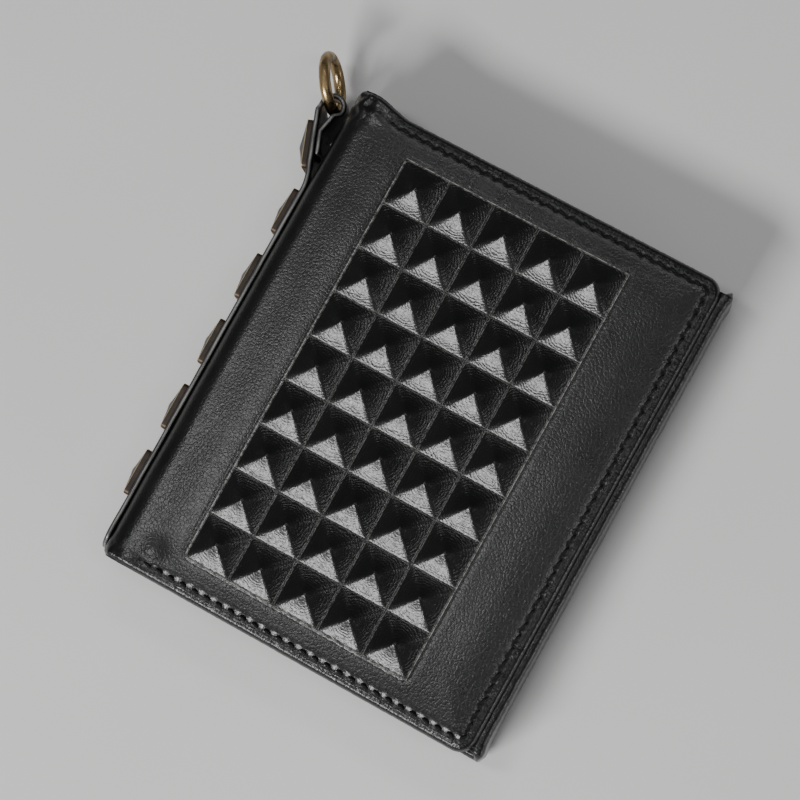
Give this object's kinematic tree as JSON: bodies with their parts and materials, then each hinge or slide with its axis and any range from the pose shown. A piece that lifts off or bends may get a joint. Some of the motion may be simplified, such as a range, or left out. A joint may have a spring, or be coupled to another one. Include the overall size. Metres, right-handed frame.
{
  "type": "chain wallet",
  "caption": "Vertical bifold leather wallet with a field of embossed pyramids, a studded strap along the spine and a metal ring for a chain.",
  "frame": {"origin": "centre of the closed cover's outline on the back cover's resting face", "axes": "+X from the spine to the open side, +Y along the spine towards the chain ring, +Z through the thickness, out of the embossed front"},
  "size_m": [0.1058, 0.1221, 0.0231],
  "materials": {
    "outer_leather": "semi-gloss, fine pebble grain",
    "strap_leather": "smooth, burnished edges",
    "inner_leather": "satin",
    "lining": "fine twill",
    "board": "matte",
    "former": "moulded, matte",
    "thread": "waxed thread",
    "antique_brass": "antiqued, worn bright at the edges",
    "zip_tape": "woven",
    "zip_metal": "antiqued"
  },
  "bodies": {
    "back": {"back_cover": "outer_leather", "back_edge_roll": "outer_leather", "back_stitching": "thread", "back_board": "board", "back_lining": "lining", "bill_panel_back": "inner_leather", "coin_gusset_top": "inner_leather", "coin_gusset_bottom": "inner_leather", "coin_gusset_side": "inner_leather", "coin_gusset_spine": "inner_leather", "coin_panel_inner": "inner_leather", "coin_panel_outer": "inner_leather", "zip_tape_left": "zip_tape", "zip_tape_right": "zip_tape", "zip_teeth_left": "zip_metal", "zip_teeth_right": "zip_metal"},
    "spine": {"spine_leather": "outer_leather", "spine_lining": "lining", "spine_strap": "strap_leather", "loop_thread": "thread", "spine_stud_1": "antique_brass", "spine_stud_2": "antique_brass", "spine_stud_3": "antique_brass", "spine_stud_4": "antique_brass", "spine_stud_5": "antique_brass", "spine_stud_6": "antique_brass"},
    "front": {"front_cover": "outer_leather", "relief_insert": "former", "front_board": "board", "front_lining": "lining", "bill_panel_front": "inner_leather", "front_edge_hem": "inner_leather", "card_slip_1": "inner_leather", "card_slip_2": "inner_leather", "card_slip_3": "inner_leather", "card_slip_4": "inner_leather", "front_stitching": "thread"},
    "zip": {"zip_slider": "zip_metal", "zip_pull": "zip_metal"},
    "ring": {"chain_ring": "antique_brass"}
  },
  "joints": [
    {"name": "spine_fold", "type": "hinge", "parent": "back", "child": "spine", "pos_m": [-0.04443, 0, 0.00107], "axis": [0, -1, 0], "range_deg": [0, 90]},
    {"name": "cover_fold", "type": "hinge", "parent": "spine", "child": "front", "pos_m": [-0.04443, 0, 0.01893], "axis": [0, -1, 0], "range_deg": [0, 90]},
    {"name": "ring_swing", "type": "hinge", "parent": "spine", "child": "ring", "pos_m": [-0.04988, 0.0528, 0.01], "axis": [0, 0, 1], "range_deg": [-15, 10]},
    {"name": "zip_slide", "type": "slide", "parent": "back", "child": "zip", "axis": [0, -1, 0], "range_m": [0, 0.078]}
  ],
  "couplings": [
    {"joint": "cover_fold", "follows": "spine_fold", "ratio": 1}
  ]
}
